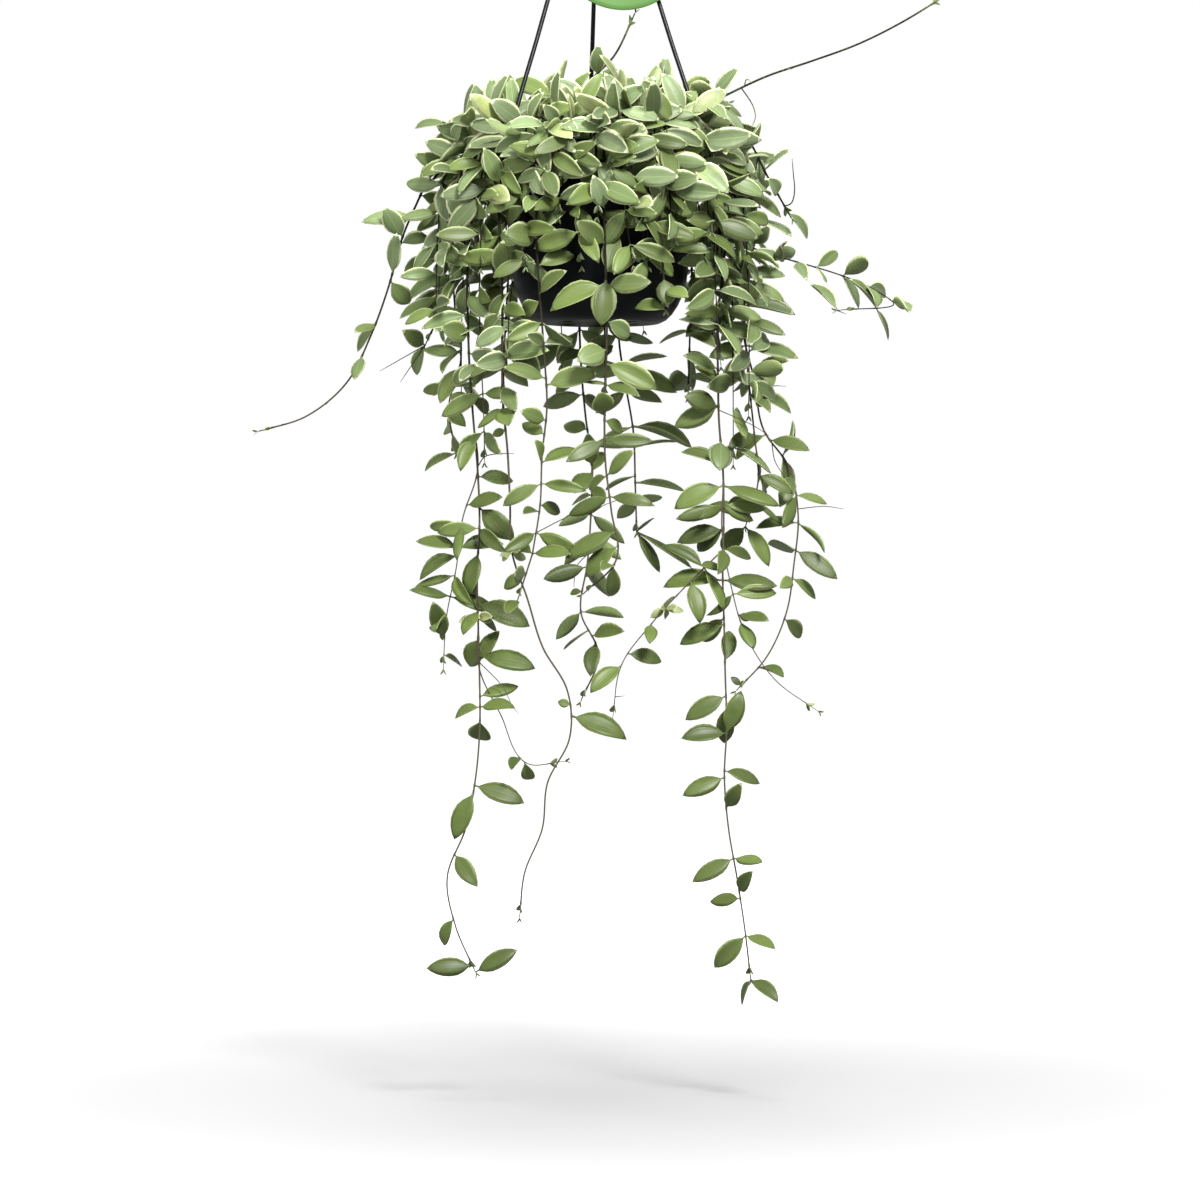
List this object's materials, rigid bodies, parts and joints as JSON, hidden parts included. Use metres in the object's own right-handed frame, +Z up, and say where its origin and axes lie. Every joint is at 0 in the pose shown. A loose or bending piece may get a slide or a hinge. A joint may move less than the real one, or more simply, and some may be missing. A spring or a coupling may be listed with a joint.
{
  "type": "hanging potted trailing plant",
  "caption": "Variegated trailing vine in a tapered black hanging pot, with a hook, a collar, wire rods and a bare round tag.",
  "frame": {"origin": "point of the hook that bears on whatever the pot hangs from", "axes": "+Z up, +X to the right and +Y away from someone who looks at the front"},
  "size_m": [0.4927, 0.2411, 0.9077],
  "materials": {
    "pot": "satin black",
    "soil": "bark and peat, matte",
    "hanger": "satin black",
    "tag": "satin green",
    "foliage": "waxy leaf, green with cream margins"
  },
  "bodies": {
    "root": {"crown_front": "foliage", "crown_front_left": "foliage", "crown_left": "foliage", "crown_spray_1": "foliage", "crown_spray_10": "foliage", "crown_spray_11": "foliage", "crown_spray_12": "foliage", "crown_spray_13": "foliage", "crown_spray_14": "foliage", "crown_spray_15": "foliage", "crown_spray_2": "foliage", "crown_spray_3": "foliage", "crown_spray_4": "foliage", "crown_spray_5": "foliage", "crown_spray_6": "foliage", "crown_spray_8": "foliage", "crown_spray_9": "foliage", "hanger_hook": "hanger", "hanger_rod_back": "hanger", "hanger_rod_left": "hanger", "hanger_rod_right": "hanger", "pot": "pot", "runner_right": "foliage", "runner_top": "foliage", "soil": "soil", "stem_behind_left": "foliage", "stem_behind_right": "foliage", "stem_curtain_1": "foliage", "stem_curtain_2": "foliage", "stem_curtain_3": "foliage", "stem_curtain_4": "foliage", "stem_curtain_5": "foliage", "stem_curtain_6": "foliage", "stem_curtain_7": "foliage", "stem_curtain_8": "foliage", "stem_far_left": "foliage", "stem_front": "foliage", "stem_front_right": "foliage", "stem_left_inner": "foliage", "stem_left_long": "foliage", "stem_left_middle": "foliage", "stem_left_outer": "foliage", "stem_left_short": "foliage", "stem_right_drop": "foliage", "stem_right_long": "foliage", "stem_right_outer": "foliage", "stem_right_upper": "foliage", "tag": "tag"}
  },
  "joints": []
}
